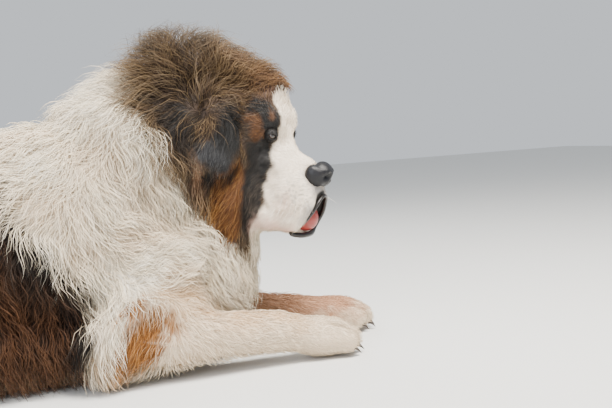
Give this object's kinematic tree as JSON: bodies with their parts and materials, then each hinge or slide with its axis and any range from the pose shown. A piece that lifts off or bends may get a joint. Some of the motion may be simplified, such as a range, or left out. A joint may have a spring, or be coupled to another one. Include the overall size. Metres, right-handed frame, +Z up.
{
  "type": "saint bernard dog",
  "caption": "Long-coated Saint Bernard lying on its chest with its head raised and turned, a still life-size model for a floor.",
  "frame": {"origin": "on the floor under the breastbone, on the flat underside of the trunk", "axes": "+X towards the forefeet, +Y to the dog's left, +Z up"},
  "size_m": [1.5672, 0.6899, 0.6978],
  "materials": {
    "white_coat": "long soft cream-white hair",
    "brown_coat": "long soft mahogany hair with dark tips",
    "nose_leather": "pebbled, half gloss",
    "mouth_flesh": "moist",
    "eye": "wet gloss"
  },
  "bodies": {
    "root": {"neck": "white_coat", "foreleg_left": "white_coat", "foreleg_right": "white_coat", "forepaw_left": "white_coat", "forepaw_right": "white_coat", "hindpaw_left": "white_coat", "hindpaw_right": "white_coat", "trunk": "brown_coat", "head": "brown_coat", "ear_left": "brown_coat", "ear_right": "brown_coat", "hindleg_left": "brown_coat", "hindleg_right": "brown_coat", "tail": "brown_coat", "lower_jaw": "white_coat", "nose": "nose_leather", "tongue": "mouth_flesh", "eye_left": "eye", "eye_right": "eye"}
  },
  "joints": []
}
